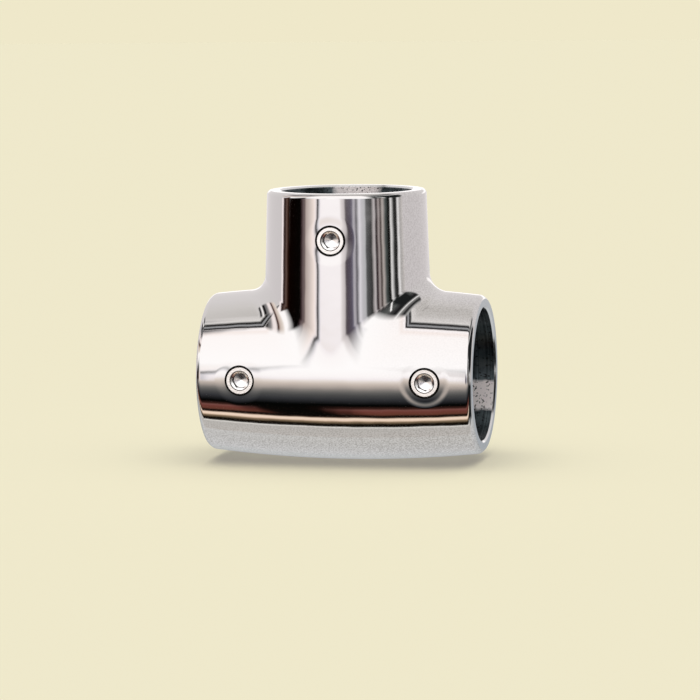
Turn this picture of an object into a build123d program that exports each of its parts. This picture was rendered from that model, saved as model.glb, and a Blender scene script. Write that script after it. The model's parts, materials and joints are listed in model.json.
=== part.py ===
from build123d import *
import math
import os

# Tee fitting that joins two round rail tubes at a right angle.
# The run lies along X, the stub stands up along +Z, and the set screws face -Y.
# The origin is where the two bore axes cross. All sizes are in millimetres.

# ---- tube and bores ----
tube_diameter = 22.2        # 7/8 inch rail tube
tube_slip = 0.1             # gap all round between tube and bore
bore_chamfer = 0.3          # lead-in at each bore mouth

# ---- barrel-shaped run ----
run_length = 46.8
run_wall_middle = 3.45
run_wall_end = 2.1

# ---- stub ----
stub_reach = 31.15          # run axis to the stub's rim
stub_wall_rim = 2.25
stub_draft = 1.8            # degrees, the stub widens towards its root
crotch_radius = 3.3         # cast fillet between stub and run
rim_bevel = 0.4             # broken outer edge of the three rims
stop_width = 0.9            # ledge inside the stub that its tube stands on
stop_rise = 1.2             # ledge above the crown of the run's bore

# ---- buffed hollow round each screw hole ----
hollow_reach = 1.7          # how far it spreads from the hole's edge
hollow_depth = 0.14         # how far it falls on the way
hollow_blend = 8.0          # radius that runs it into the skin

# ---- set screws ----
screw_diameter = 4.83
screw_length = 2.2
screw_fit = 0.05            # gap all round between screw and hole
screw_sink = 0.04           # screw face below the hole's edge
run_screw_inset = 7.7       # screw axis from the run's nearer end
stub_screw_inset = 7.7      # screw axis below the stub's rim
thread_chamfer = 0.25       # on both ends of the thread
hex_across_flats = 2.4
hex_depth = 1.2
socket_mouth = 3.2          # diameter of the cone that leads into the hexagon
socket_cone = 120.0         # degrees, the full angle of that cone
drill_depth = 0.3           # drill point below the hexagon's floor
cup_diameter = 2.6          # hollow point that bites the tube
cup_depth = 0.3
hex_turn = {"stub_set_screw": 5.0, "left_set_screw": 0.0, "right_set_screw": 37.0}

# ---- worked out ----
bore_radius = tube_diameter / 2 + tube_slip
middle_radius = bore_radius + run_wall_middle
end_radius = bore_radius + run_wall_end
rim_radius = bore_radius + stub_wall_rim
hole_radius = screw_diameter / 2 + screw_fit
run_screw_x = run_length / 2 - run_screw_inset
stub_screw_z = stub_reach - stub_screw_inset


def barrel_radius(x):
    """Outer radius of the run at a distance x from the stub's axis: an arc through middle and ends."""
    drop = middle_radius - end_radius
    arc = ((run_length / 2) ** 2 + drop ** 2) / (2 * drop)
    return middle_radius - arc + math.sqrt(arc ** 2 - x ** 2)


def stub_radius(z):
    """Outer radius of the stub at height z above the run's axis."""
    return rim_radius + (stub_reach - z) * math.tan(math.radians(stub_draft))


def run_skin():
    """The run without its bore: a barrel turned about X with its ends' edges broken."""
    half = run_length / 2
    side = ThreePointArc((-half, end_radius), (0, middle_radius), (half, end_radius))
    side += Polyline((half, end_radius), (half, 0), (-half, 0), (-half, end_radius))
    barrel = revolve(make_face(Plane.XY * side), Axis.X, 360)
    return chamfer(barrel.edges().filter_by(GeomType.CIRCLE), rim_bevel)


def stub_skin():
    """The stub without its bore: a drafted post that starts on the run's axis."""
    post = Solid.make_cone(stub_radius(0), rim_radius, stub_reach)
    rim = post.edges().filter_by(GeomType.CIRCLE).sort_by(Axis.Z)[-1]
    return chamfer(rim, rim_bevel)


def casting_blank():
    """Run and stub grown together, with the cast fillet in the crotch."""
    run, stub = run_skin(), stub_skin()
    blank = run + stub
    crotch = new_edges(run, stub, combined=blank)
    return fillet(crotch, crotch_radius)


def run_bore():
    """The bore right through the run, with a lead-in at each end."""
    half, flare = run_length / 2, bore_radius + bore_chamfer
    side = Polyline(
        (-half, 0), (-half, flare), (-half + bore_chamfer, bore_radius),
        (half - bore_chamfer, bore_radius), (half, flare), (half, 0), (-half, 0),
    )
    return revolve(make_face(Plane.XY * side), Axis.X, 360)


def stub_bore():
    """The bore down the stub to its stop, a throat from there into the run, and a lead-in at the rim."""
    throat, stop = bore_radius - stop_width, bore_radius + stop_rise
    side = Polyline(
        (0, 0), (throat, 0), (throat, stop), (bore_radius, stop),
        (bore_radius, stub_reach - bore_chamfer), (bore_radius + bore_chamfer, stub_reach),
        (0, stub_reach), (0, 0),
    )
    return revolve(make_face(Plane.XZ * side), Axis.Z, 360)


def screw_points():
    """For each screw, the point where its axis meets the skin."""
    run_y = -barrel_radius(run_screw_x)
    stub_y = -stub_radius(stub_screw_z)
    return {
        "stub_set_screw": Vector(0, stub_y, stub_screw_z),
        "left_set_screw": Vector(-run_screw_x, run_y, 0),
        "right_set_screw": Vector(run_screw_x, run_y, 0),
    }


def facing_out(point, depth=0.0):
    """A plane at that depth under the point, with its Z along -Y, out of the casting."""
    return Plane(origin=point + Vector(0, depth, 0), x_dir=(1, 0, 0), z_dir=(0, -1, 0))


def loops_round(body, point):
    """The edges that ring the screw's axis near the skin, from the smallest loop to the largest."""
    near = [
        edge for edge in body.edges()
        if (edge.bounding_box().center() - point).length < run_wall_end / 2
    ]
    return ShapeList(near).sort_by(SortBy.LENGTH)


def tapped_hole(body, point):
    """The body with one screw hole through its wall, and the hollow that buffing leaves round it."""
    wall = -point.Y - bore_radius
    drill = Solid.make_cylinder(hole_radius, 2 * wall + bore_radius)
    body = body - facing_out(point, wall + bore_radius / 2) * drill

    mouth = loops_round(body, point)[0]
    skin = ShapeList(
        face for face in body.faces() if any(edge.is_same(mouth) for edge in face.edges())
    ).sort_by(SortBy.AREA)[-1]
    body = chamfer(mouth, hollow_reach, hollow_depth, reference=skin)
    return fillet(loops_round(body, point)[-1], hollow_blend)


def tee_body():
    """The casting: one piece, bored both ways and tapped for its three screws."""
    body = casting_blank() - run_bore() - stub_bore()
    for point in screw_points().values():
        body = tapped_hole(body, point)
    return body


def set_screw(turn):
    """A short cup-point screw with its face at z=0 and its point down -Z, the hexagon turned in degrees."""
    radius, edge = screw_diameter / 2, thread_chamfer
    cone_depth = socket_mouth / 2 / math.tan(math.radians(socket_cone / 2))
    section = Polyline(
        (0, -cone_depth), (socket_mouth / 2, 0), (radius - edge, 0), (radius, -edge),
        (radius, edge - screw_length), (radius - edge, -screw_length),
        (cup_diameter / 2, -screw_length), (0, cup_depth - screw_length), (0, -cone_depth),
    )
    shank = revolve(make_face(Plane.XZ * section), Axis.Z, 360)

    hexagon = RegularPolygon(hex_across_flats / 2, 6, major_radius=False, rotation=turn)
    floor = Polyline(
        (0, 0), (hex_across_flats / 2, 0), (hex_across_flats / 2, -hex_depth),
        (0, -hex_depth - drill_depth), (0, 0),
    )
    return shank - extrude(hexagon, -hex_depth) - revolve(make_face(Plane.XZ * floor), Axis.Z, 360)


def tee_fitting():
    """Every piece of the fitting in place, by name."""
    pieces = {"tee_body": tee_body()}
    for name, point in screw_points().items():
        seat = facing_out(point, hollow_depth + screw_sink)
        pieces[name] = seat * set_screw(hex_turn[name])
    return pieces


if __name__ == "__main__":
    os.makedirs("parts", exist_ok=True)
    for name, piece in tee_fitting().items():
        export_step(piece, f"parts/{name}.step")
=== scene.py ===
# %% [markdown]
# A tee fitting for round rail tube: one polished stainless casting and three small set screws.
# The CAD model gives the sizes, the places and the bodies that move. This script gives the
# looks: smooth skins that a mirror finish needs, threads, machining marks and the studio.

# %% Load the frame
import json
import math

import bmesh
import bpy
import numpy as np
from mathutils import Matrix, Vector
from mathutils.geometry import delaunay_2d_cdt


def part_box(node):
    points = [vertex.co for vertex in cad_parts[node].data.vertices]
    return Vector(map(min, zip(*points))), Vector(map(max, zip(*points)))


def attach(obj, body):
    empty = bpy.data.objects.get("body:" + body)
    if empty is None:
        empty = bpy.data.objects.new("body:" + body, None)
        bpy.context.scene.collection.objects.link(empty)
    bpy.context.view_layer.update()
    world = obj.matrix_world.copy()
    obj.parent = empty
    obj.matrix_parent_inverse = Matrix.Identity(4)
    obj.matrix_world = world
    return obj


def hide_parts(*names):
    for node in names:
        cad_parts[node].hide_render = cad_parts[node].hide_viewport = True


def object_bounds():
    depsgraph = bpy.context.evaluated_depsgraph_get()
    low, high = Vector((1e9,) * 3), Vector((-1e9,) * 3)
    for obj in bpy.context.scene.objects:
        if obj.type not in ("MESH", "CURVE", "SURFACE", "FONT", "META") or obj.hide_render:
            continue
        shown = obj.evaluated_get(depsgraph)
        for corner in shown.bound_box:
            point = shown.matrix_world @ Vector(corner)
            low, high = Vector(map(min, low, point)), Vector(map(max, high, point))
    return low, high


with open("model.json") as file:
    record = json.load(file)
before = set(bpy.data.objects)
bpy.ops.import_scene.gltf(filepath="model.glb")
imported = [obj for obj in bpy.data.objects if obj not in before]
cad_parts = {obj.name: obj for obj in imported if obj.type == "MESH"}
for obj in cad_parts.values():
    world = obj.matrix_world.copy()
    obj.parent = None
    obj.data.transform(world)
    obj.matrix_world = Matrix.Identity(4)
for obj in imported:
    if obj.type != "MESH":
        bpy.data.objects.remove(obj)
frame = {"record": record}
cad_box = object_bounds()
MM = 0.001
mounts = {mount["name"]: mount for mount in frame["record"]["mounts"]}

# %% [markdown]
# A mirror finish shows every facet, because each flat triangle bends the reflection a little.
# So the casting's skin is meshed again here from the curves that define it, much finer than the
# CAD mesh, and each corner gets the true surface normal. Sizes below are in millimetres. Those
# that the frame knows are read from it, and the rest are the ones the casting was designed with.

# %% Sizes of the casting
low, high = (Vector(corner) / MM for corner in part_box("tee_body"))
BORE = mounts["run_bore"]["dims"]["r_mm"]
HALF = high.x                       # half the run's length
MIDDLE = -low.z                     # barrel radius at the stub
TOP = high.z                        # rim of the stub
END = BORE + 2.1                    # barrel radius at the ends, before the edge is rounded
RIM = BORE + 2.25                   # stub radius at its rim
DRAFT = math.radians(1.8)           # the stub widens downwards
CROTCH = 3.3                        # cast fillet at the sides of the stub
FRONT_EASE = 0.9                    # how much flatter that fillet gets at front and back
ROUND, LEFT_ROUND = 0.9, 1.3        # buffed edge of each rim, and the rounder one on the left
ROUND_TURN = math.radians(62)       # how far that edge turns before the faced rim cuts it off
LEFT_TURN = math.radians(48)        # the same for the left rim
BEVEL = 0.3                         # width of the bevel on the right rim
BEVEL_TURN = math.radians(43)       # where on that edge the bevel lies, and how far it leans
LEAD = 0.3                          # lead-in of each bore
STOP = BORE + 1.2                   # ledge that stops the stub's tube
THROAT = BORE - 0.9                 # opening below that ledge
print(f"bore {BORE:.2f}, run {2 * HALF:.2f} long, stub to {TOP:.2f}")
print(f"barrel radius {MIDDLE:.2f} in the middle and {END:.2f} at the ends")

# %% Sizes of the screws, from their CAD boxes
SCREW_FIT = 0.05                    # gap between screw and hole
MOUTH = 0.12                        # the hole is broken open this much at the skin
PITCH = 0.8                         # from one turn of the thread to the next
THREAD = 0.42                       # depth of the thread

# Around each hole the buffing wheel leaves a hollow: its depth, the width of its even part and of
# its slope, and the share of it that is missing above the screw.
HOLLOWS = {
    "stub_set_screw": (0.04, 0.0, 1.9, 0.0),
    "left_set_screw": (0.05, 0.0, 1.9, 0.3),
    "right_set_screw": (0.13, 0.7, 1.1, 0.85),
}


class Seat:
    """Where one screw sits: its axis is parallel to Y at (x, z), its face looks along -Y."""

    def __init__(self, node):
        start, end = (Vector(corner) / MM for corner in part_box(node))
        self.node = node
        self.x, self.z = (start.x + end.x) / 2, (start.z + end.z) / 2
        self.radius = (end.x - start.x) / 2
        self.face, self.tip = start.y, end.y
        self.hole = self.radius + SCREW_FIT
        self.dip, self.flat, self.reach, self.missing = HOLLOWS[node]


seats = {node: Seat(node) for node in HOLLOWS}
for seat in seats.values():
    print(f"{seat.node}: axis at x {seat.x:.2f}, z {seat.z:.2f}, radius {seat.radius:.2f}")

# %% [markdown]
# The run is a barrel: an arc of large radius turned about X. The stub is a plain cone about Z.
# Buffing wheels pull a shallow hollow round each hole, so the skin dips a little near a screw.
# Each surface is a function from two coordinates to points, so that meshes and normals share it.

# %% Curves that the skin is made from
DROP = MIDDLE - END
ARC = (HALF ** 2 + DROP ** 2) / (2 * DROP)      # radius of the barrel's arc
FULL = 2 * math.pi                  # a full turn
HOLLOW_FADE = 4.0                   # height over which a hollow fades to its upper share
DIP_ROUNDS = 4                      # rounds in which a dip and its place settle


def barrel_radius(x):
    return MIDDLE - ARC + np.sqrt(ARC ** 2 - x ** 2)


def stub_radius(z):
    return RIM + (TOP - z) * math.tan(DRAFT)


def hollow(distance, height, seat):
    """How far the skin dips at that distance from a screw's axis and that height above it."""
    s = np.clip((distance - seat.hole - seat.flat) / seat.reach, 0, 1)
    below = np.clip(0.5 - height / HOLLOW_FADE, 0, 1)
    share = 1 - seat.missing * (1 - below ** 2 * (3 - 2 * below))
    return seat.dip * share * (1 - s) ** 2 * (1 + 2 * s)


def dip(x, z, front):
    """How far the skin dips at (x, z) from all the hollows together, on its front side only."""
    total = np.zeros_like(x)
    for seat in seats.values():
        total += hollow(np.hypot(x - seat.x, z - seat.z), z - seat.z, seat)
    return np.where(front, total, 0.0)


def run_skin(x, angle):
    """Angle 0 is underneath, a quarter turn is the front and half a turn is the top."""
    radius = outer = barrel_radius(x)
    for _ in range(DIP_ROUNDS):
        radius = outer - dip(x, -radius * np.cos(angle), np.sin(angle) > 0)
    return np.stack([x, -radius * np.sin(angle), -radius * np.cos(angle)], -1)


def stub_skin(angle, z):
    """Angle 0 is the back and half a turn is the front."""
    radius = outer = stub_radius(z)
    for _ in range(DIP_ROUNDS):
        radius = outer - dip(radius * np.sin(angle), z, np.cos(angle) < 0)
    return np.stack([radius * np.sin(angle), radius * np.cos(angle), z], -1)


def run_bore_wall(x, angle):
    return np.stack([x, -BORE * np.sin(angle), -BORE * np.cos(angle)], -1)


def stub_bore_wall(angle, z):
    return np.stack([BORE * np.sin(angle), BORE * np.cos(angle), z], -1)


print(f"the barrel is an arc of {ARC:.0f}, and the stub is {stub_radius(MIDDLE):.2f} at its foot")

# %% [markdown]
# Between run and stub lies the cast fillet. A ball rolled along the crotch touches both skins,
# and its arc between the two contacts is the fillet. The ball is small at the sides of the stub
# and grows large at front and back, where the two skins are almost in line.

# %% The rolling ball in the crotch
AROUND = 216                        # columns of points round each axis
turn = np.arange(AROUND) / AROUND * FULL
EASE_POWER = 2.6                    # how late the ball starts to grow on its way to the front
BALL_ROUNDS = 40                    # rounds in which the ball settles between the two skins


def crotch_ball(angle):
    """For each angle round the stub: the ball's centre and radius, and its two contact points."""
    side, ahead = np.sin(angle), np.cos(angle)
    radius = CROTCH / (1 - FRONT_EASE * np.abs(ahead) ** EASE_POWER)
    height = np.full_like(angle, MIDDLE)
    for _ in range(BALL_ROUNDS):
        reach = stub_radius(height) + radius / math.cos(DRAFT)
        x, y = reach * side, reach * ahead
        out = MIDDLE - ARC + np.sqrt((ARC + radius) ** 2 - x ** 2)
        height = np.sqrt(out ** 2 - y ** 2)
    centre = np.stack([x, y, height], -1)
    on_stub = height - radius * math.sin(DRAFT)
    on_run = x * ARC / (ARC + radius)
    run_angle = np.arctan2(-y, -height) % FULL
    return centre, radius, on_stub, on_run, run_angle


ball_centre, ball_radius, stub_foot, run_foot_x, run_foot_angle = crotch_ball(turn)
print(f"fillet radius {ball_radius.min():.1f} at the sides, {ball_radius.max():.0f} in front")
print(f"the stub's skin ends {stub_foot.min():.1f} to {stub_foot.max():.1f} above the run's axis")

# %% [markdown]
# Every piece is put together from patches. A patch is a set of points, the polygons between them
# and a normal for each point. Patches that meet share the points of their border, so that welding
# them closes the piece, while each keeps its own normals and a true edge stays crisp.

# %% Patches turned about an axis
BUFFED, BORED, TAPPED, FACED = range(4)         # the casting's material slots
TINY = 1e-12                                    # keeps divisions away from zero


def unit(vectors):
    return vectors / np.maximum(np.linalg.norm(vectors, axis=-1, keepdims=True), TINY)


def ring_patch(points, material=BUFFED):
    """A patch from an array of rows of points, where each row is a closed ring."""
    rows, columns = points.shape[:2]
    along = np.gradient(points, axis=0)
    across = np.roll(points, -1, axis=1) - np.roll(points, 1, axis=1)
    normals = unit(np.cross(along, across)).reshape(-1, 3)
    index = np.arange(rows * columns).reshape(rows, columns)
    after = np.roll(index, -1, axis=1)
    quads = np.stack([index[:-1], index[1:], after[1:], after[:-1]], -1).reshape(-1, 4)
    return points.reshape(-1, 3), quads, normals, material


def between(start, end, rows):
    """Rows of points straight from one ring to another."""
    share = np.linspace(0, 1, rows)[:, None, None]
    return start[None] * (1 - share) + end[None] * share


def turned(profile, axis):
    """A profile of (distance from the axis, place along it), turned about X or Z."""
    out, place = np.asarray(profile, float).T[..., None]
    if axis == "X":
        return np.stack([place + 0 * turn, -out * np.sin(turn), -out * np.cos(turn)], -1)
    return np.stack([out * np.sin(turn), out * np.cos(turn), place + 0 * turn], -1)


print(f"a turned patch has {AROUND} points in each ring")

# %% Patches with holes in them
SAME_POINT = 1e-7                   # points of a flat sheet closer than this are one
NUDGE = 1e-4                        # step along a surface from which its normal is found


def inside(points, loop):
    """Which points of a plane lie inside a closed loop."""
    x, y = points[:, :1], points[:, 1:]
    (x0, y0), (x1, y1) = loop.T, np.roll(loop, -1, axis=0).T
    crosses = (y0 > y) != (y1 > y)
    where = x0 + (y - y0) * (x1 - x0) / np.where(y1 == y0, TINY, y1 - y0)
    return (crosses & (x < where)).sum(1) % 2 == 1


def near(points, loop, gap):
    """Which points lie closer than the gap to the loop's own points."""
    close = np.zeros(len(points), bool)
    for corner in loop:
        close |= np.hypot(*(points - corner).T) < gap
    return close


def clear_of(points, loops, stretch, gap):
    """Those points that lie outside every loop, and no closer to it than the gap."""
    for loop in loops:
        flat, edge = points * stretch, loop * stretch
        points = points[~inside(flat, edge) & ~near(flat, edge, gap)]
    return points


def sheet_patch(surface, stretch, border, holes, extra, gap, material=BUFFED):
    """A patch over a flat region with holes in it, mapped onto a surface.

    surface turns the region's two coordinates into points, stretch turns them into millimetres,
    border is the region's outline, holes are loops cut out of it and extra are points inside it.
    """
    outline, spread = border * stretch, extra * stretch
    extra = extra[inside(spread, outline) & ~near(spread, outline, gap)]
    coords = np.concatenate([border, *holes, clear_of(extra, holes, stretch, gap)])
    edges, first = [], 0
    for loop in (border, *holes):
        count = len(loop)
        edges += [(first + i, first + (i + 1) % count) for i in range(count)]
        first += count
    flat = [Vector(pair) for pair in coords * stretch]
    found = delaunay_2d_cdt(flat, edges, [], 0, SAME_POINT, True)
    coords = coords[[origin[0] for origin in found[3]]]
    triangles = np.array([tuple(face) for face in found[2]])
    middle = (coords * stretch)[triangles].mean(1)
    wanted = inside(middle, outline)
    for hole in holes:
        wanted &= ~inside(middle, hole * stretch)
    u, v = coords.T
    first_way = surface(u + NUDGE, v) - surface(u - NUDGE, v)
    other_way = surface(u, v + NUDGE) - surface(u, v - NUDGE)
    return surface(u, v), triangles[wanted], unit(np.cross(first_way, other_way)), material


print("ready to lay out skins and bores as flat sheets")

# %% Weld patches into one mesh
WELD = 0.0005                       # points closer than this become one


def make_piece(name, patches):
    """Welds the patches, turns every face outwards and gives each corner its patch's normal."""
    mesh = bmesh.new()
    layer = mesh.loops.layers.float_vector.new("own normal")
    for points, polygons, normals, material in patches:
        verts = [mesh.verts.new(point * MM) for point in points]
        for polygon in polygons:
            face = mesh.faces.new([verts[i] for i in polygon])
            face.material_index, face.smooth = material, True
            for corner, i in zip(face.loops, polygon):
                corner[layer] = normals[i]
    bmesh.ops.remove_doubles(mesh, verts=mesh.verts, dist=WELD * MM)
    bmesh.ops.recalc_face_normals(mesh, faces=mesh.faces)
    mesh.normal_update()
    open_edges = sum(not edge.is_manifold for edge in mesh.edges)
    corners = []
    for face in mesh.faces:
        for corner in face.loops:
            own = corner[layer]
            corners.append(tuple(own if own.dot(face.normal) > 0 else -own))
    data = bpy.data.meshes.new(name)
    mesh.to_mesh(data)
    triangles = sum(len(face.verts) - 2 for face in mesh.faces)
    mesh.free()
    data.normals_split_custom_set(corners)
    piece = bpy.data.objects.new(name, data)
    bpy.context.scene.collection.objects.link(piece)
    print(f"{name}: {triangles} triangles, {open_edges} open edges")
    return piece


print(f"points closer than {WELD} mm are welded")

# %% [markdown]
# The screw holes are the hardest borders: a round hole seen on a round skin. Their loops are
# worked out from the screw's own axis, ring by ring, so the hollow round each hole comes out even.

# %% Loops round the screw holes
HOLE_COLUMNS = 72
HOLLOW_REACH = 2.3                  # the fine rings round a hole end this far from its mouth
hole_turn = np.arange(HOLE_COLUMNS) / HOLE_COLUMNS * FULL
hollow_rings = np.linspace(0, HOLLOW_REACH, 14)[1:]


def ring_about(seat, distance):
    """A circle of that radius round the screw's axis, as x and z."""
    return seat.x + distance * np.cos(hole_turn), seat.z + distance * np.sin(hole_turn)


def loop_on_run(seat, distance, in_bore=False):
    """That circle as (x, angle) on the front of the run, on its skin or in its bore."""
    x, z = ring_about(seat, distance)
    radius = BORE if in_bore else barrel_radius(x) - hollow(distance, z - seat.z, seat)
    return np.stack([x, np.arccos(-z / radius)], -1)


def loop_on_stub(seat, distance, in_bore=False):
    """That circle as (angle, z) on the front of the stub, on its skin or in its bore."""
    x, z = ring_about(seat, distance)
    radius = BORE if in_bore else stub_radius(z) - hollow(distance, z - seat.z, seat)
    return np.stack([math.pi - np.arcsin(x / radius), z], -1)


print(f"{len(hollow_rings)} rings of {HOLE_COLUMNS} points round each screw hole")

# %% [markdown]
# Each rim was faced flat on a lathe, and the buffing wheel then rounded its outer edge, one rim
# more than another. A bevel modifier would round them all alike. Here each edge is a drawn profile
# that is turned about its axis, and the right one keeps a narrow bevel in the middle of its edge.

# %% The buffed edge of a rim
def line(start, end, count):
    """Pairs of distance from the axis and place along it, straight from one to another."""
    return [(start[0] * (1 - s) + end[0] * s, start[1] * (1 - s) + end[1] * s)
            for s in np.linspace(0, 1, count)]


def rim_profile(skin_radius, face, slope, rounding=ROUND, turn_to=ROUND_TURN, bevel=0.0, steps=8):
    """The rounded corner as such pairs, from the skin to the faced rim.

    A bevel is a straight stretch of that width in the middle of the corner.
    """
    bevel_out, bevel_along = bevel * math.sin(BEVEL_TURN), bevel * math.cos(BEVEL_TURN)
    along = face - rounding * math.sin(turn_to) - bevel_along
    out = skin_radius(along + rounding * math.sin(slope)) - rounding * math.cos(slope)
    turns = np.linspace(slope, turn_to, steps)
    stops = [(a, 0.0) for a in turns if a < BEVEL_TURN or not bevel]
    if bevel:
        stops += [(BEVEL_TURN, share) for share in (0.0, 0.2, 0.8, 1.0)]
        stops += [(a, 1.0) for a in turns if a > BEVEL_TURN]
    return [(float(out + rounding * math.cos(a) - bevel_out * share),
             float(along + rounding * math.sin(a) + bevel_along * share)) for a, share in stops]


def barrel_slope(rounding, turn_to, bevel=0.0):
    """How steeply the barrel falls where that rounding starts."""
    along = HALF - rounding * math.sin(turn_to) - bevel * math.cos(BEVEL_TURN)
    return math.asin(along / (ARC - rounding))


right_slope = barrel_slope(ROUND, ROUND_TURN, BEVEL)
left_slope = barrel_slope(LEFT_ROUND, LEFT_TURN)
run_rim = rim_profile(barrel_radius, HALF, right_slope, bevel=BEVEL)
left_rim = rim_profile(barrel_radius, HALF, left_slope, LEFT_ROUND, LEFT_TURN)
stub_rim = rim_profile(stub_radius, TOP, DRAFT)
run_edge_x, left_edge_x, stub_edge_z = run_rim[0][1], -left_rim[0][1], stub_rim[0][1]
print(f"skin ends at x {left_edge_x:.3f} and {run_edge_x:.3f} and at z {stub_edge_z:.3f}")
for name, rim in (("left", left_rim), ("right", run_rim), ("stub", stub_rim)):
    print(f"the {name} faced rim is {rim[-1][0]:.2f} in radius")

# %% [markdown]
# The two skins are the mirror itself. Cutting holes out of solids with a boolean is quick, but it
# leaves long thin triangles round each hole, and a mirror shows them. So each skin is laid out
# flat, as a sheet of even triangles with its holes left open, and is then mapped to its surface.

# %% Skins of the run and the stub, with their holes
SKIN_GAP = 0.12                     # least distance of a point from the border of a skin
FIELD_GAP = 0.3                     # least distance of the even field from the rings round a hole
RUN_ROWS, STUB_ROWS = 78, 52


def rectangle(low_u, high_u, low_v, high_v, steps_u, steps_v):
    """The outline of a region, walked once round, as pairs of coordinates."""
    u = np.linspace(low_u, high_u, steps_u + 1)
    v = np.linspace(low_v, high_v, steps_v + 1)
    sides = [(u[:-1], low_v), (high_u, v[:-1]), (u[::-1][:-1], high_v), (low_u, v[::-1][:-1])]
    return np.concatenate([np.stack(np.broadcast_arrays(*side), -1) for side in sides])


def lattice(low_u, high_u, low_v, high_v, steps_u, steps_v):
    """Points inside a region, each row shifted by half a step."""
    u, v = np.meshgrid(np.linspace(low_u, high_u, steps_u + 1)[1:-1], np.arange(1, steps_v))
    shifted = v + 0.5 * (np.arange(steps_u - 1) % 2)
    return np.stack([u.ravel(), low_v + (high_v - low_v) * shifted.ravel() / steps_v], -1)


def run_sheet():
    """The barrel's skin, open where the fillet starts and at the two screw holes."""
    size = (left_edge_x, run_edge_x, 0, FULL, RUN_ROWS, AROUND)
    stretch = np.array([1, MIDDLE])
    crotch = np.stack([run_foot_x, run_foot_angle], -1)
    pair = [seats["left_set_screw"], seats["right_set_screw"]]
    mouths = [loop_on_run(seat, seat.hole + MOUTH) for seat in pair]
    rings = [loop_on_run(seat, seat.hole + MOUTH + step) for seat in pair for step in hollow_rings]
    zones = [loop_on_run(seat, seat.hole + MOUTH + hollow_rings[-1]) for seat in pair]
    extra = np.concatenate([clear_of(lattice(*size), zones, stretch, FIELD_GAP), *rings])
    return sheet_patch(run_skin, stretch, rectangle(*size), [crotch, *mouths], extra, SKIN_GAP)


def stub_sheet():
    """The stub's skin from the fillet up to the rounded rim, open at its screw hole."""
    seat = seats["stub_set_screw"]
    around, foot = np.append(turn, FULL), np.append(stub_foot, stub_foot[0])
    side = np.linspace(foot[0], stub_edge_z, STUB_ROWS + 1)
    border = np.concatenate([
        np.stack([around[:-1], foot[:-1]], -1),
        np.stack([np.full(STUB_ROWS, FULL), side[:-1]], -1),
        np.stack([around[::-1][:-1], np.full(AROUND, stub_edge_z)], -1),
        np.stack([np.zeros(STUB_ROWS), side[::-1][:-1]], -1),
    ])
    stretch = np.array([RIM, 1])
    mouth = loop_on_stub(seat, seat.hole + MOUTH)
    rings = [loop_on_stub(seat, seat.hole + MOUTH + step) for step in hollow_rings]
    field = lattice(0, FULL, foot.min(), stub_edge_z, AROUND, 2 * STUB_ROWS // 3)
    extra = np.concatenate([clear_of(field, rings[-1:], stretch, FIELD_GAP), *rings])
    return sheet_patch(stub_skin, stretch, border, [mouth], extra, SKIN_GAP)


skins = [run_sheet(), stub_sheet()]
print("triangles in the skins of run and stub:", [len(patch[1]) for patch in skins])

# %% [markdown]
# Inside, the casting is machined: a bore through the run, a bore down the stub that ends on a
# narrow ledge, and a throat between them. The bores are laid out flat as the skins are. The
# fillet, the rims and the ledge are rings, so they need no flat sheet.

# %% The fillet and the rims
def fillet_patch(rows=18):
    """Arcs of the rolling ball from the stub's skin to the run's skin."""
    start = unit(stub_skin(turn, stub_foot) - ball_centre)
    end = unit(run_skin(run_foot_x, run_foot_angle) - ball_centre)
    angle = np.arccos(np.clip((start * end).sum(-1), -1, 1))[:, None]
    arcs = []
    for share in np.linspace(0, 1, rows):
        way = (start * np.sin((1 - share) * angle) + end * np.sin(share * angle)) / np.sin(angle)
        arcs.append(ball_centre + ball_radius[:, None] * way)
    points, quads, normals, material = ring_patch(np.array(arcs))
    normals[:AROUND], normals[-AROUND:] = start, end
    return points, quads, normals, material


def rim_patches(profile, face, axis, flip=1):
    """A buffed edge, the flat end face and the lead-in, as three patches with crisp borders."""
    flat = line((profile[-1][0], face), (BORE + LEAD, face), 5)
    lead_in = line((BORE + LEAD, face), (BORE, face - LEAD), 3)
    patches = []
    for part, material in ((profile, BUFFED), (flat, FACED), (lead_in, FACED)):
        points = turned([(out, flip * place) for out, place in part], axis)
        patches.append(ring_patch(points, material))
    return patches


fillet = fillet_patch()
rims = [*rim_patches(run_rim, HALF, "X"), *rim_patches(left_rim, HALF, "X", -1),
        *rim_patches(stub_rim, TOP, "Z")]
print(f"faces: {len(fillet[1])} in the fillet, {sum(len(patch[1]) for patch in rims)} in the rims")

# %% The bores and the ledge
BORE_GAP = 0.25                     # least distance of a point from the border of a bore wall
RUN_BORE_ROWS, STUB_BORE_ROWS = 46, 24


def throat_on_run():
    """The loop where the throat opens into the run's bore, as (x, angle)."""
    x, y = THROAT * np.sin(turn), THROAT * np.cos(turn)
    height = np.sqrt(BORE ** 2 - y ** 2)
    return np.stack([x, np.arctan2(-y, -height) % FULL], -1)


def bore_sheet(wall, stretch, size, holes):
    """A bore's wall, with its holes left open."""
    return sheet_patch(wall, stretch, rectangle(*size), holes, lattice(*size), BORE_GAP, BORED)


def stop_patches():
    """The ledge that the stub's tube stands on, and the throat below it."""
    ledge = turned(line((BORE, STOP), (THROAT, STOP), 3), "Z")
    opening = run_bore_wall(*throat_on_run().T)
    return [ring_patch(ledge, BORED), ring_patch(between(ledge[-1], opening, 12), BORED)]


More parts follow.
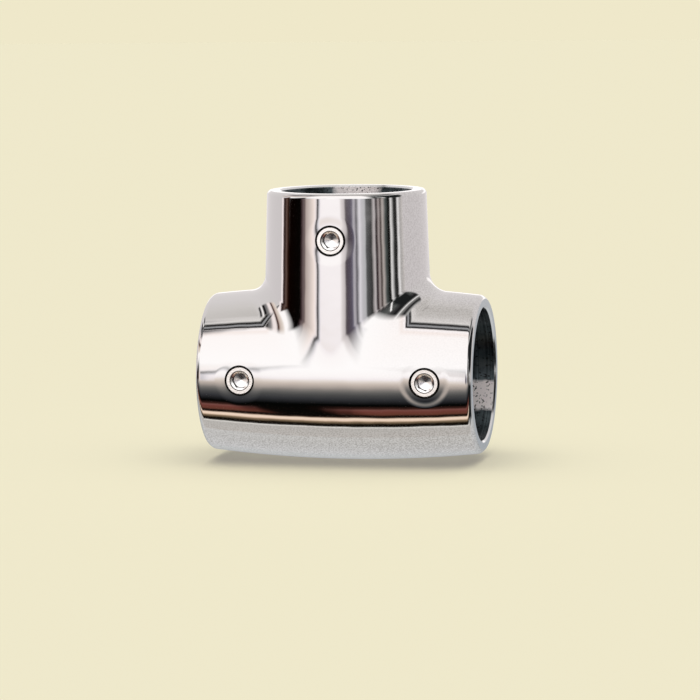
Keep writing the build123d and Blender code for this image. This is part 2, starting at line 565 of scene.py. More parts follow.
run_holes = [loop_on_run(seats[node], seats[node].hole, True)
             for node in ("left_set_screw", "right_set_screw")]
stub_hole = loop_on_stub(seats["stub_set_screw"], seats["stub_set_screw"].hole, True)
run_size = (LEAD - HALF, HALF - LEAD, 0, FULL, RUN_BORE_ROWS, AROUND)
stub_size = (0, FULL, STOP, TOP - LEAD, AROUND, STUB_BORE_ROWS)
bores = [
    bore_sheet(run_bore_wall, np.array([1, BORE]), run_size, [throat_on_run(), *run_holes]),
    bore_sheet(stub_bore_wall, np.array([BORE, 1]), stub_size, [stub_hole]),
    *stop_patches(),
]
print("faces in the bores, the ledge and the throat:", [len(patch[1]) for patch in bores])

# %% [markdown]
# The holes are tapped, and their thread shows above the screws. A screw modifier could wind a
# thread, but it would have to be cut to the skin afterwards. Here each wall is a set of rings from
# the skin to the bore, and every point moves out by a depth that depends on its height and turn.

# %% Threads in the holes
HOLE_RADIUS = seats["stub_set_screw"].hole + MOUTH      # of all three, at the skin
FLANK, CREST, ROOT = 1.6, 0.12, 0.5     # slope of the groove, and where its V is cut off
HOLE_FADE = 0.35                        # a hole's thread runs out over this depth at each end


def thread_depth(height, angle, fade_in):
    """Depth of a helical groove, rising one pitch a turn and fading out at both ends."""
    phase = (height / PITCH - angle / FULL) % 1.0
    groove = np.clip(FLANK * (0.5 - np.abs(phase - 0.5)) - CREST, 0, ROOT) / ROOT
    return THREAD * groove * np.clip(fade_in, 0, 1)


def hole_wall(mouth, bottom, rows=40):
    """A screw hole from its mouth on the skin to the bore: a broken edge, then a threaded wall."""
    centre = mouth.mean(0) * [1, 0, 1]
    start = centre + (mouth - centre) * [1 - MOUTH / HOLE_RADIUS, 1, 1 - MOUTH / HOLE_RADIUS]
    start[:, 1] += MOUTH
    wall = between(start, bottom, rows)
    ends = np.minimum(wall[..., 1] - start[:, 1], bottom[:, 1] - wall[..., 1]) / HOLE_FADE
    depth = thread_depth(wall[..., 1], hole_turn, ends)
    wall[..., 0] += depth * np.cos(hole_turn)
    wall[..., 2] += depth * np.sin(hole_turn)
    return [ring_patch(between(mouth, start, 3), TAPPED), ring_patch(wall, TAPPED)]


hole_walls = []
for seat in seats.values():
    if seat.node == "stub_set_screw":
        mouth = stub_skin(*loop_on_stub(seat, seat.hole + MOUTH).T)
        bottom = stub_bore_wall(*loop_on_stub(seat, seat.hole, True).T)
    else:
        mouth = run_skin(*loop_on_run(seat, seat.hole + MOUTH).T)
        bottom = run_bore_wall(*loop_on_run(seat, seat.hole, True).T)
    hole_walls += hole_wall(mouth, bottom)
    print(f"{seat.node}: its hole is {bottom[:, 1].max() - mouth[:, 1].min():.2f} deep")

# %% [markdown]
# A set screw is a stub of threaded rod. Its face is turned flat, with a cone that leads the key
# into the hexagon. The other end is a cup whose rim bites into the tube. All of it is round but
# the hexagon, so it is made of rings too, and the rings of the socket have six straight sides.

# %% Sizes of the set screws
SCREW_COLUMNS = 96
screw_turn = np.arange(SCREW_COLUMNS) / SCREW_COLUMNS * FULL
SIXTH = math.radians(60)
HEXAGON, HEX_DEPTH = 2.4, 1.2       # across flats, and down to its floor
DRILL_POINT = 0.3                   # depth of the drill point below that floor
SOCKET_MOUTH, MOUTH_STEP = 3.4, 0.13    # width of the socket's mouth, and its broken edge
LEAD_SLOPE = math.tan(math.radians(30))     # of the cone that leads the key in
CUP, CUP_DEPTH = 2.6, 0.3           # width and depth of the cup
THREAD_CHAMFER = 0.2                # at both ends of the thread
CONE_TIP = 0.02                     # radius of the tiny flat at the tip of a cone
SCREW_FADE = 0.3                    # a screw's thread runs out over this length at each end
HEX_TURNS = {"stub_set_screw": 5.0, "left_set_screw": 0.0, "right_set_screw": 37.0}     # degrees
STEEL, PAINTED_SHADE = 0, 1                 # a screw's material slots: bare, and dark as painted shade
print(f"a {HEXAGON} mm hexagon, {HEX_DEPTH} mm deep")

# %% The set screws
def screw_rings(profile, angle):
    """Rings about the screw's own axis from pairs of radius and depth below the face."""
    rings = []
    for radius, depth in profile:
        radius, depth = (np.broadcast_to(part, angle.shape) for part in (radius, depth))
        rings.append(np.stack([radius * np.cos(angle), depth, radius * np.sin(angle)], -1))
    return np.array(rings)


def cap_patch(patch):
    """The tiny flat that closes the last ring of a cone."""
    normals = np.tile([0.0, 1.0, 0.0], (SCREW_COLUMNS, 1))
    return patch[0][-SCREW_COLUMNS:], np.arange(SCREW_COLUMNS)[None], normals, patch[3]


def screw_patches(seat):
    """Face, socket, thread and cup point of one screw."""
    angle = screw_turn + math.radians(HEX_TURNS[seat.node])
    length, radius = seat.tip - seat.face, seat.radius
    inner, mouth, cup = radius - THREAD_CHAMFER, SOCKET_MOUTH / 2, CUP / 2
    brink, drill = mouth - MOUTH_STEP, HEXAGON / 2
    hexagon = drill / np.cos(screw_turn % SIXTH - SIXTH / 2)
    lead_end = MOUTH_STEP + (brink - hexagon) * LEAD_SLOPE
    depth = np.linspace(THREAD_CHAMFER, length - THREAD_CHAMFER, 44)
    ends = np.minimum(depth - depth[0], depth[-1] - depth)[:, None] / SCREW_FADE
    cut = thread_depth(depth[:, None] + PITCH / 2, angle[None], ends)
    profiles = [
        (line((inner, 0), (mouth, 0), 5), STEEL),
        (line((mouth, 0), (brink, MOUTH_STEP), 3), PAINTED_SHADE),
        (line((brink, MOUTH_STEP), (hexagon, lead_end), 5), STEEL),
        (line((hexagon, lead_end), (hexagon, HEX_DEPTH), 5), PAINTED_SHADE),
        (line((hexagon, HEX_DEPTH), (drill, HEX_DEPTH), 2), STEEL),
        (line((drill, HEX_DEPTH), (CONE_TIP, HEX_DEPTH + DRILL_POINT), 5), STEEL),
        (line((inner, 0), (radius, THREAD_CHAMFER), 4), PAINTED_SHADE),
        ([(radius - groove, place) for groove, place in zip(cut, depth)], PAINTED_SHADE),
        (line((radius, length - THREAD_CHAMFER), (inner, length), 4), STEEL),
        (line((inner, length), (cup, length), 2), STEEL),
        (line((cup, length), (CONE_TIP, length - CUP_DEPTH), 5), STEEL),
    ]
    patches = [ring_patch(screw_rings(profile, angle), slot) for profile, slot in profiles]
    patches += [cap_patch(patches[5]), cap_patch(patches[10])]      # drill point and cup
    place = np.array([seat.x, seat.face, seat.z])
    return [(points + place, faces, normals, slot) for points, faces, normals, slot in patches]


print("each screw is", len(screw_patches(seats["stub_set_screw"])), "patches")

# %% Put the pieces together
casting = make_piece("polished_tee_casting", [*skins, fillet, *bores, *hole_walls, *rims])
screws = {node: make_piece(f"turned_{node}", screw_patches(seat)) for node, seat in seats.items()}

# %% [markdown]
# The fitting is cast in marine stainless, an iron, chromium and nickel alloy, then buffed on
# cloth wheels. Its colour is a faintly warm light grey. The wheels leave a mirror with long, weak
# waves in it, so reflections bend a little. A noise that drives a bump makes such waves, and a
# finer noise tints pores, most of them towards the bottom.

# %% Colours and nodes
def colour(hex_code):
    """An sRGB hex colour as linear values with alpha."""
    values = [int(hex_code[i:i + 2], 16) / 255 for i in (1, 3, 5)]
    linear = [v / 12.92 if v <= 0.04045 else ((v + 0.055) / 1.055) ** 2.4 for v in values]
    return (*linear, 1.0)


def add(tree, kind, inputs=(), **settings):
    """Adds a node, sets what is named, and links or sets its inputs.

    The kind is Blender's own name without its ShaderNode in front. A node that stands as an input
    is linked by the first output that it has in use.
    """
    new = tree.nodes.new("ShaderNode" + kind)
    for name, value in settings.items():
        setattr(new, name, value)
    for name, value in dict(inputs).items():
        if isinstance(value, bpy.types.Node):
            value = next(output for output in value.outputs if output.enabled)
        if isinstance(value, bpy.types.NodeSocket):
            tree.links.new(value, new.inputs[name])
        else:
            new.inputs[name].default_value = value
    return new


def metal(name, hex_code, roughness):
    """A bare metal: its colour and roughness stand on the shader itself."""
    material = bpy.data.materials.new(name)
    material.use_nodes = True
    shader = material.node_tree.nodes["Principled BSDF"]
    shader.inputs["Base Color"].default_value = colour(hex_code)
    shader.inputs["Metallic"].default_value = 1.0
    shader.inputs["Roughness"].default_value = roughness
    return material, material.node_tree, shader


print("mid grey is", round(colour("#808080")[0], 3), "in linear light")

# %% Buffed stainless, for the casting's outside
buffed, tree, shader = metal("buffed cast 316 stainless", "#CCCAC9", 0.06)
place = add(tree, "TexCoord").outputs["Object"]
# Waves from the wheel are 4 mm long. Their real height, about a micron, is what bends the edges of
# the reflections without moving them. They are drawn a little higher, so that it shows.
waves = add(tree, "TexNoise", {"Vector": place, "Scale": 1 / (4 * MM), "Detail": 1.0})
wavy = add(tree, "Bump", {"Height": waves, "Strength": 1.0, "Distance": 0.02 * MM})
tree.links.new(wavy.outputs["Normal"], shader.inputs["Normal"])
# Pores of the casting are 0.05 mm wide and drawn 0.25 mm wide. Most are drawn on the underside and
# some at the right end, fewer on its front, so the skin is darker and grainier towards the bottom.
xyz = add(tree, "SeparateXYZ", {"Vector": place}).outputs
under = add(tree, "MapRange", {"Value": xyz["Z"], "From Min": -6 * MM, "From Max": -11 * MM})
at_right = add(tree, "MapRange", {"Value": xyz["X"], "From Min": 5 * MM, "From Max": 11 * MM})
not_front = add(tree, "MapRange", {"Value": xyz["Y"], "From Min": -12 * MM, "From Max": -7 * MM,
                                   "To Min": 0.08, "To Max": 0.5})
pore_spread = add(tree, "Math", {0: at_right, 1: not_front, 2: under}, operation="MULTIPLY_ADD")
pores = add(tree, "TexNoise", {"Vector": place, "Scale": 1 / (0.25 * MM), "Detail": 2.0})
open_pores = add(tree, "MapRange", {"Value": pores, "From Min": 0.42, "From Max": 0.62})
porous = add(tree, "Math", {0: open_pores, 1: pore_spread}, operation="MULTIPLY")
skin_colour = add(tree, "Mix", {"Factor": porous, "A": colour("#CCCBCB"), "B": colour("#A9A7A6")},
                  data_type="RGBA")
tree.links.new(skin_colour.outputs["Result"], shader.inputs["Base Color"])
print("made", buffed.name)

# %% [markdown]
# The bores and rims are cut on a lathe after casting. The tool leaves a fine spiral of grooves
# about each axis. Light scatters across such grooves and hardly along them, so a bore shines in
# bands. The shader's anisotropy does that, along a tangent that runs across the grooves.

# %% Turned stainless, for the bores
# The bores' colours are dark: painted shade inside the casting.
bored, tree, shader = metal("lathe-bored stainless", "#4F5A5E", 0.3)
shader.inputs["Anisotropic"].default_value = 0.8
place = add(tree, "TexCoord").outputs["Object"]
xyz = add(tree, "SeparateXYZ", {"Vector": place}).outputs
in_stub = add(tree, "Math", {0: xyz["Z"], 1: STOP * MM}, operation="GREATER_THAN")
tangents = []
for axis in ((1, 0, 0), (0, 0, 1)):
    flat = add(tree, "VectorMath", {0: place, 1: tuple(1 - a for a in axis)}, operation="MULTIPLY")
    outward = add(tree, "VectorMath", {0: flat}, operation="NORMALIZE")
    tangents.append(add(tree, "VectorMath", {0: outward, 1: axis}, operation="ADD"))
tangent = add(tree, "Mix", {"Factor": in_stub, "A": tangents[0], "B": tangents[1]},
              data_type="VECTOR")
tree.links.new(tangent.outputs["Result"], shader.inputs["Tangent"])
# The feed is 0.1 mm a turn. It is drawn as 0.45 mm rings, mixed with noise so that they vary.
along = add(tree, "Mix", {"Factor": in_stub, "A": xyz["X"], "B": xyz["Z"]})
ripple = add(tree, "TexNoise", {"W": along, "Scale": 1 / (0.45 * MM), "Detail": 3.0},
             noise_dimensions="1D")
turned_marks = add(tree, "Bump", {"Height": ripple, "Strength": 1.0, "Distance": 0.02 * MM})
tree.links.new(turned_marks.outputs["Normal"], shader.inputs["Normal"])
# The wall is drawn dark as painted shade inside the bore, mottled in the turned rings and unevenly
# along them.
blotch_noise = add(tree, "TexNoise", {"Vector": place, "Scale": 1 / (2.2 * MM), "Detail": 2.0})
mottled = add(tree, "Mix", {"Factor": 0.5, "A": blotch_noise, "B": ripple})
mottle_share = add(tree, "MapRange", {"Value": mottled, "From Min": 0.4, "From Max": 0.62})
shaded_bore_colour = add(tree, "Mix", {"Factor": mottle_share, "A": colour("#465054"), "B": colour("#7A8589")},
           data_type="RGBA")
print("made", bored.name)

# %% The painted bright strip and the torn specks in the bores
# Opposite the set screws each bore's back wall has a bright, matt strip with ragged edges, a
# painted reflection.
sideways = add(tree, "Mix", {"Factor": in_stub, "A": xyz["Z"], "B": xyz["X"]})
middle = add(tree, "Mix", {"Factor": in_stub, "A": -4.7 * MM, "B": -0.6 * MM})
half_width = add(tree, "Mix", {"Factor": in_stub, "A": 2.3 * MM, "B": 4.0 * MM})
off_middle = add(tree, "Math", {0: sideways, 1: middle}, operation="SUBTRACT")
distance = add(tree, "Math", {0: off_middle}, operation="ABSOLUTE")
share_out = add(tree, "Math", {0: distance, 1: half_width}, operation="DIVIDE")
ragged = add(tree, "Math", {0: blotch_noise, 1: 0.6, 2: share_out}, operation="MULTIPLY_ADD")
reflection_edge = add(tree, "MapRange", {"Value": ragged, "From Min": 1.42, "From Max": 1.18})
at_back = add(tree, "Math", {0: xyz["Y"], 1: 0.0}, operation="GREATER_THAN")
painted_reflection = add(tree, "Math", {0: reflection_edge, 1: at_back}, operation="MULTIPLY")
rough = add(tree, "Mix", {"Factor": painted_reflection, "A": 0.3, "B": 0.65})
tree.links.new(rough.outputs["Result"], shader.inputs["Roughness"])
wall_colour = add(tree, "Mix", {"Factor": painted_reflection, "A": shaded_bore_colour, "B": colour("#F8F2F1")},
                  data_type="RGBA")
# Torn specks from the tool are dark and 0.2 mm wide.
specks = add(tree, "TexNoise", {"Vector": place, "Scale": 1 / (0.4 * MM), "Detail": 1.0})
torn = add(tree, "MapRange", {"Value": specks, "From Min": 0.61, "From Max": 0.69})
bore_colour = add(tree, "Mix", {"Factor": torn, "A": wall_colour, "B": colour("#2E2E30")},
                  data_type="RGBA")
tree.links.new(bore_colour.outputs["Result"], shader.inputs["Base Color"])
print("nodes in the bore's material:", len(tree.nodes))

# %% [markdown]
# The flat rims are faced in the same lathe, with a finer feed, and only wiped after that. They are
# duller than the buffed skin, so each shows as a pale ring with a crisp border.

# %% Faced stainless, for the flat rims
faced, tree, shader = metal("faced stainless", "#CCCDCE", 0.14)
place = add(tree, "TexCoord").outputs["Object"]
# The facing cut leaves rings 0.05 mm apart. They are drawn 0.25 mm wide and broken up by noise.
rings = add(tree, "TexNoise", {"Vector": place, "Scale": 1 / (0.25 * MM), "Detail": 2.0})
cut = add(tree, "Bump", {"Height": rings, "Strength": 1.0, "Distance": 0.006 * MM})
tree.links.new(cut.outputs["Normal"], shader.inputs["Normal"])
print("made", faced.name)

# %% [markdown]
# The threads are cut with a tap and never polished. They look almost black beside the skin, as
# painted shade, and so do the screws' thread chamfers and socket walls. The screws are turned from
# bar and left as they come off.

# %% Tapped stainless, for the threads
tapped, tree, shader = metal("tapped stainless in painted shade", "#3A3733", 0.5)
place = add(tree, "TexCoord").outputs["Object"]
# The tapped material is almost black, painted shade, mottled by a noise.
shade_noise = add(tree, "TexNoise", {"Vector": place, "Scale": 1 / (0.6 * MM), "Detail": 3.0})
shade_colour = add(tree, "Mix", {"Factor": shade_noise, "A": colour("#0E0D0C"), "B": colour("#4C4945")},
            data_type="RGBA")
tree.links.new(shade_colour.outputs["Result"], shader.inputs["Base Color"])
print("made", tapped.name)

# %% Turned stainless, for the screws
screw_steel, tree, shader = metal("turned stainless screw", "#EEEEEE", 0.22)
place = add(tree, "TexCoord").outputs["Object"]
# Cutting marks on the small faces are 0.05 mm wide and drawn at 0.25 mm.
marks = add(tree, "TexNoise", {"Vector": place, "Scale": 1 / (0.25 * MM), "Detail": 2.0})
cut = add(tree, "Bump", {"Height": marks, "Strength": 1.0, "Distance": 0.012 * MM})
tree.links.new(cut.outputs["Normal"], shader.inputs["Normal"])
print("made", screw_steel.name)

# %% [markdown]
# Each piece stands for one solid of the CAD model and moves with that solid's body. The casting
# stays where it is, and each screw slides along its own hole.

# %% Dress the pieces and let them ride on their bodies
for material in (buffed, bored, tapped, faced):
    casting.data.materials.append(material)
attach(casting, "casting")
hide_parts("tee_body")
bodies = {"stub_set_screw": "stub_screw", "left_set_screw": "left_screw",
          "right_set_screw": "right_screw"}
for node, screw in screws.items():
    screw.data.materials.append(screw_steel)
    screw.data.materials.append(tapped)
    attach(screw, bodies[node])
    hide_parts(node)
print("dressed", casting.name, "and", *(screw.name for screw in screws.values()))

# %% [markdown]
# A polished tee shows the room more than itself, so the studio matters as much as the metal. It
# is written into the world: a cream backdrop all round, and for reflections a big soft box above
# and in front, dark flags beside and below it, and narrow strips where panels meet.

# %% The floor
REACH = 3.0                         # metres from the middle to each edge
ground_z = cad_box[0].z
sheet = bpy.data.meshes.new("studio_floor")
sheet.from_pydata([(-REACH, -REACH, ground_z), (REACH, -REACH, ground_z), (REACH, REACH, ground_z),
                   (-REACH, REACH, ground_z)], [], [(0, 1, 2, 3)])
floor = bpy.data.objects.new("studio_floor", sheet)
bpy.context.scene.collection.objects.link(floor)
paper = bpy.data.materials.new("matt cream paper")
paper.use_nodes = True
shader = paper.node_tree.nodes["Principled BSDF"]
shader.inputs["Base Color"].default_value = colour("#D5CEAC")
shader.inputs["Roughness"].default_value = 1.0
shader.inputs["Specular IOR Level"].default_value = 0.0
# A share of its light comes from all round, so that the shadow on it stays a soft grey.
shader.inputs["Emission Color"].default_value = colour("#7B7A78")
shader.inputs["Emission Strength"].default_value = 1.0
sheet.materials.append(paper)
# Reflections and matt light come from the studio alone, which has its own paper underneath.
floor.visible_glossy, floor.visible_diffuse = False, False
print(f"the floor lies at z {ground_z / MM:.2f} mm")

# %% [markdown]
# A studio could be built from lamps and cards. But a mirror shows which way each reflection goes
# and little else, so a world with a colour for every direction looks the same and has no noise.
# Colour ramps along three angles make the bands and strips, and masks say where each one shows.

# %% Angles in the studio
world = bpy.data.worlds.new("studio")
bpy.context.scene.world = world
world.use_nodes = True
tree = world.node_tree
tree.nodes.clear()
way = add(tree, "SeparateXYZ", {"Vector": add(tree, "TexCoord").outputs["Generated"]}).outputs
ahead = add(tree, "Math", {0: way["Y"], 1: -1.0}, operation="MULTIPLY")
# rise is the height above the horizon, heading the turn from straight ahead, and pitch the height
# on a flat wall that stands in front, so that level edges on that wall come out straight.
rise = add(tree, "Math", {0: way["Z"]}, operation="ARCSINE")
heading = add(tree, "Math", {0: way["X"], 1: ahead}, operation="ARCTAN2")
pitch = add(tree, "Math", {0: way["Z"], 1: ahead}, operation="ARCTAN2")


def fade(angle, start, end):
    """From 0 at one angle in degrees to 1 at the other."""
    return add(tree, "MapRange", {"Value": angle, "From Min": math.radians(start),
                                  "From Max": math.radians(end)})


def strips(angle, stops):
    """A ramp along an angle. Stops are pairs of degrees and hex, and a ~ lets the rest show."""
    low_deg, high_deg = stops[0][0], stops[-1][0]
    ramp = add(tree, "ValToRGB", {"Fac": fade(angle, low_deg, high_deg)})
    points = ramp.color_ramp.elements
    while len(points) < len(stops):
        points.new(0.5)
    for point, (degrees, hex_code) in zip(points, stops):
        point.position = (degrees - low_deg) / (high_deg - low_deg)
        point.color = colour(hex_code.replace("~", "#"))[:3] + (float(hex_code[0] == "#"),)
    return ramp.outputs["Color"], ramp.outputs["Alpha"]


print("the world is measured by rise, heading and pitch")

# %% Level bands in front
def over(so_far, layer, mask):
    """The studio so far, with one more layer where its mask lets it show."""
    return add(tree, "Mix", {"Factor": mask, "A": so_far, "B": layer}, data_type="RGBA")


def where_all(first, *others):
    """The share of a direction that several masks leave together."""
    for mask in others:
        first = add(tree, "Math", {0: first, 1: mask}, operation="MULTIPLY")
    return first


# From straight down to straight up: the paper, the table's bronze edge, the dark room under the
# light, the big soft light itself and its black frame.
below, _ = strips(pitch, [
    (-90, "#BDB9B4"), (-73.5, "#B6B3AE"), (-72.2, "#DEDBD5"), (-71.4, "#DEDBD5"),
    (-70.4, "#0E0904"), (-66.2, "#0C0803"), (-64.5, "#5C4E3C"), (-62.2, "#8B765E"),
    (-60.6, "#E8CDB6"), (-57.4, "#F2DCC8"), (-56.2, "#8A6E5A"), (-55.4, "#100A06"),
    (-53.5, "#0A0806"), (-37.0, "#040504"), (-33.5, "#1D1E20"), (-29.0, "#333437"),
    (-24.0, "#494949"), (-20.5, "#5F5E5C"), (-17.0, "#7E7975"), (-14.0, "#A19891"),
    (-11.0, "#B8ADA4"), (-8.0, "#CDC1B7"), (-5.0, "#E2D9D2"), (-2.5, "#F2ECED"),
    (1.0, "#FBF7F6"), (10.0, "#FEFCFB")])
above, _ = strips(pitch, [
    (10.0, "#FEFCFB"), (58.0, "#FDF8F6"), (64.0, "#F6EBE6"), (67.5, "#FCF6F5"),
    (69.6, "#F8F1F0"), (70.6, "#0B0D0D"), (72.6, "#0B0D0D"), (74.0, "#98989A"),
    (75.2, "#98989A"), (76.6, "#141413"), (79.0, "#100F0E"), (80.4, "#A9A7A4"),
    (82.0, "#DBD7D4"), (84.0, "#D2CECB"), (90.0, "#C8C4C1")])
room = over(below, above, fade(pitch, 9.9, 10.1))
# Some red from the room glows in the dark on the right, and a little at the far left.
reddish = add(tree, "Math", {0: fade(heading, -19, -13), 1: fade(heading, -27, -31)},
              operation="ADD")
glow, glowing = strips(pitch, [
    (-53.0, "~62392D"), (-51.0, "#62392D"), (-46.5, "#6D3C35"), (-44.5, "#774C45"),
    (-42.5, "#3A211B"), (-39.0, "~3A211B")])
room = over(room, glow, where_all(glowing, reddish))
print("bands are set in front")

# %% Level bands behind
# Paper sweeps up from the table, and a white card stands far back, which the stub's rim shows.
behind, _ = strips(rise, [
    (-90, "#C6C4C0"), (-73, "#C6C5C2"), (-46, "#C5C5C5"), (-39, "#BBBDBD"), (-31, "#B3B5B5"),
    (-23, "#A6A7A7"), (-15, "#929496"), (-9, "#8E9296"), (-5.6, "#9A9DA0"), (-4.4, "#C8C3C3"),
    (15, "#CAC6C5"), (47, "#CECAC9"), (62, "#C9C5C2"), (72, "#BCB8B4"), (82, "#BEBAB6"),
    (90, "#C8C4C1")])
room = over(room, behind, add(tree, "Math", {0: way["Y"], 1: 0.0}, operation="GREATER_THAN"))
turned_away = add(tree, "Math", {0: heading}, operation="ABSOLUTE")
card = where_all(fade(turned_away, 150, 156), fade(rise, 2, 4), fade(rise, 12, 9))
room = over(room, colour("#F4F0EF"), card)
print("bands are set behind")

# %% The two sides above eye level
def lean(angle, slope, other, level):
    """An angle that shifts by slope for each degree that another angle lies above a level."""
    shift = add(tree, "Math", {0: other, 1: -slope, 2: slope * math.radians(level)},
                operation="MULTIPLY_ADD")
    return add(tree, "Math", {0: angle, 1: shift}, operation="ADD")


def choose(mask, other, one):
    """One of two numbers, by a mask from 0 to 1."""
    return add(tree, "Mix", {"Factor": mask, "A": other, "B": one})


# On the left a wall, and slanting over it the rails that carry the light.
left_wall, on_wall = strips(lean(rise, 0.3, heading, -90), [
    (13, "~D8CCC0"), (16, "#DDD2C8"), (20, "#C8B8AE"), (22.5, "#5A4038"), (24, "#2A1A16"),
    (26, "#D8CCC8"), (28, "#EFE4E2"), (32, "#E8DEDC"), (34.5, "#B0A8A6"), (37, "#807E7E"),
    (41, "#6A6868"), (43, "#101010"), (46.5, "#0C0C0C"), (48.5, "#787674"), (51, "#F4F0EE"),
    (53, "#E8E4E2"), (55.5, "#8A8888"), (57.5, "#1C1C1C"), (60, "#181818"), (62, "#A8A6A4"),
    (65, "~B8B6B4")])
wall_ends = where_all(fade(heading, -44, -53), fade(lean(heading, -0.25, rise, 0), -95, -91))
near_rails = choose(fade(heading, -82, -74), 1.0, fade(pitch, 70.5, 69))
room = over(room, left_wall, where_all(on_wall, near_rails, wall_ends))
# On the right a dark corner of the room, with one bright rail high up and one that slants.
corner, in_corner = strips(rise, [
    (-1, "~2A2A2A"), (3, "#2A2A2A"), (12, "#4A4C4A"), (20, "#565856"), (26, "#3C3C3C"),
    (34, "#161616"), (38, "#2E2E2E"), (41, "#8A8A88"), (43.5, "#EDEBE9"), (46, "#8E8C8A"),
    (50, "#6A6A68"), (53, "#3A3A3A"), (56, "#0C0C0C"), (59, "#5A5A58"), (63, "#A8A6A4"),
    (68, "~B8B6B4")])
corner_ends = where_all(fade(heading, 40, 52), fade(lean(heading, 0.4, rise, 0), 95, 91))
room = over(room, corner, where_all(in_corner, corner_ends))
# Farther round it is almost black, from well below eye level up to the rails.
far_round = where_all(fade(heading, 66, 72), fade(heading, 96, 91), fade(rise, -52, -46),
                      fade(rise, 38, 34))
room = over(room, colour("#1C1E1E"), far_round)
rail, on_rail = strips(lean(rise, -1.23, heading, 70), [
    (3.5, "~E8E6E4"), (4.5, "#F4F2F0"), (7.5, "#F4F2F0"), (8.5, "~E8E6E4")])
room = over(room, rail, where_all(on_rail, fade(rise, 4, 6), fade(rise, 24, 21)))
print("both sides are set")

# %% Upright strips of the studio
# To the left stand a dark door in a brown frame and a lit wall. To the right stand a tripod, a
# window with its frames, and stands in front of it.
above_eye = add(tree, "Math", {0: rise, 1: 0.0}, operation="MAXIMUM")
left, left_there = strips(lean(heading, 0.9, above_eye, 0), [
    (-95, "~D5CECD"), (-93.5, "#F1E6E5"), (-91.5, "#F1E6E5"), (-90, "#443532"),
    (-87, "#2B1A16"), (-84, "#5F4D46"), (-81.5, "#3A241B"), (-79, "#120402"), (-75, "#070100"),
    (-58, "#050403"), (-55.5, "#3A2C2D"), (-53, "#645657"), (-50.5, "#6E605D"),
    (-48.5, "#B0A29C"), (-43, "#C8BCB6"), (-38, "#E4D6CE"), (-34.5, "#F3E6E1"),
    (-32.5, "#E0D8D8"), (-31, "#4A4849"), (-29.8, "#4A4849"), (-28, "#C6C4C8"),
    (-26.5, "#ECE6E9"), (-25, "~F7F0F1")])
right, right_there = strips(lean(heading, -0.8, above_eye, 0), [
    (1, "~E6E0DE"), (4, "#DAD3D2"), (8, "#C0B9B9"), (10, "#564F52"), (12, "#4D454D"),
    (17, "#524C58"), (19, "#666270"), (21, "#AEAAB0"), (23, "#9E9AA0"), (25, "#4E4C51"),
    (26.5, "#8A888C"), (29.5, "#D9D6DB"), (33, "#BAB8BC"), (37, "#B1B1B3"), (39, "#505151"),
    (44, "#3D3D3D"), (46.5, "#2F2F2E"), (48, "#868281"), (51, "#BDB6B6"), (53.5, "#22181A"),
    (55, "#372C2C"), (57.5, "#A39997"), (60.5, "#2F221D"), (63.5, "#B1A8A3"), (68, "#4A504E"),
    (73, "#0A0806"), (75, "#0A0806"), (77, "#E4E2E0"), (79, "#C0BFBE"), (82, "#353534"),
    (86.5, "#0D0B0A"), (89, "#DEDCDB")])
edge, edge_there = strips(heading, [
    (89, "#DEDCDB"), (91, "#DEDCDB"), (92.5, "#AEABA9"), (95.5, "#B2AEAB"), (98, "#C6C1BE"),
    (100, "~C6C1BE")])
# Those in the middle fade out above eye level, and the ones at the sides end lower.
door_top = fade(lean(rise, 0.55, heading, -76), 9, -1)
left_top = choose(fade(heading, -52, -48), door_top, fade(rise, 16, 0))
left_top = choose(fade(heading, -77, -79), left_top, fade(rise, 24, 20))
right_top = choose(fade(heading, 23, 26), fade(rise, 15, -1), fade(rise, 7, -1))
foot = fade(rise, -9, -5)
seen = over(room, left, where_all(left_there, left_top, foot))
seen = over(seen, right, where_all(right_there, right_top, foot, fade(heading, 89.1, 89)))
seen = over(seen, edge, where_all(edge_there, right_top, foot, fade(heading, 88.9, 89)))
print("upright strips are set")

# %% [markdown]
# The Light Path node tells rays apart. Mirror rays see the studio, the camera sees a plain
# backdrop behind the object, and everything matt is lit by even white light.

# %% Light from the studio
# The stops above are what the steel shows, and steel gives back six tenths, so what it mirrors is
# that much brighter. Matt things are lit by plain white, at which a colour renders as written.
STEEL_GIVES_BACK = 0.6
rays = add(tree, "LightPath").outputs
mirrored = add(tree, "Background", {"Color": seen, "Strength": 1 / STEEL_GIVES_BACK})
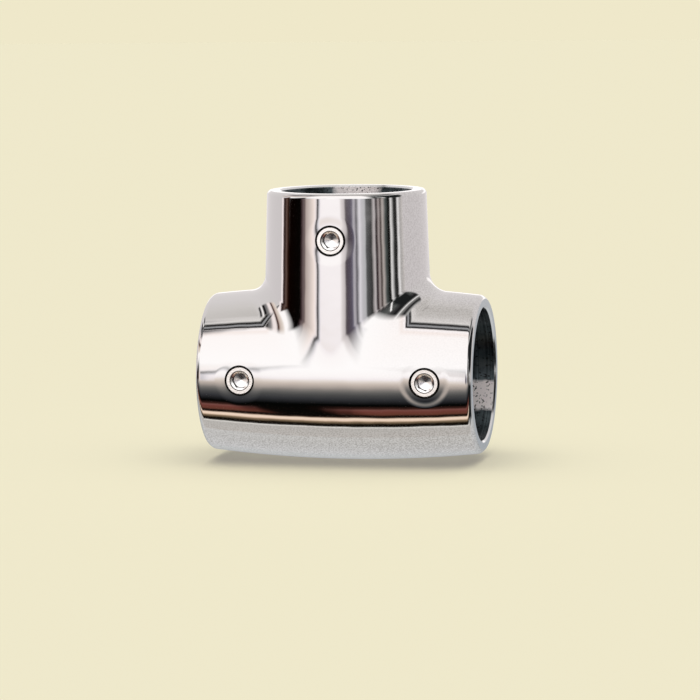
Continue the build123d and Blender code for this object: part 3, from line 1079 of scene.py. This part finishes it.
# Matt things are lit from overhead more than from the sides, so shadows stay close to the object.
OVERHEAD = 5.0
upward = add(tree, "Math", {0: way["Z"], 1: 0.0}, operation="MAXIMUM")
gathered = add(tree, "Math", {0: upward, 1: OVERHEAD}, operation="POWER")
overhead = add(tree, "Math", {0: gathered, 1: OVERHEAD / 2 + 1}, operation="MULTIPLY")
plain = add(tree, "Background", {"Color": (1.0, 1.0, 1.0, 1.0), "Strength": overhead})
backdrop = add(tree, "Background", {"Color": colour("#EFE8CA"), "Strength": 1.0})
by_gloss = add(tree, "MixShader", {0: rays["Is Glossy Ray"], 1: plain, 2: mirrored})
by_camera = add(tree, "MixShader", {0: rays["Is Camera Ray"], 1: by_gloss, 2: backdrop})
add(tree, "OutputWorld", {"Surface": by_camera})
print("nodes in the world:", len(tree.nodes))

# %% [markdown]
# The camera stands almost level, a little to the right, and far off with a long lens, so that
# parallel edges stay nearly parallel. It is rolled by less than a degree.

# %% Camera
turned_by, raised_by, rolled_by = math.radians(12.208), math.radians(6.329), math.radians(-0.651)
CAMERA_DISTANCE = 596.56                    # mm from its target
TARGET_RIGHT, TARGET_UP = 0.243, 3.798      # mm from the crossing of the axes, as the camera sees
SENSOR, LENS = 36.0, 180.6979               # mm
back = Vector((math.sin(turned_by) * math.cos(raised_by),
               -math.cos(turned_by) * math.cos(raised_by), math.sin(raised_by)))
level_right = (-back).cross(Vector((0, 0, 1))).normalized()
level_up = level_right.cross(-back)
target = (level_right * TARGET_RIGHT + level_up * TARGET_UP) * MM
side = level_right * math.cos(rolled_by) + level_up * math.sin(rolled_by)
head = level_up * math.cos(rolled_by) - level_right * math.sin(rolled_by)
lens = bpy.data.cameras.new("camera")
lens.sensor_width, lens.lens = SENSOR, LENS
lens.clip_start, lens.clip_end = 0.01, 20.0
camera = bpy.data.objects.new("camera", lens)
bpy.context.scene.collection.objects.link(camera)
stand = Matrix.Translation(target + back * CAMERA_DISTANCE * MM)
camera.matrix_world = stand @ Matrix((side, head, back)).transposed().to_4x4()
bpy.context.scene.camera = camera
bpy.context.scene.view_settings.view_transform = "Standard"
print("the camera stands at", [round(value, 3) for value in camera.matrix_world.translation])
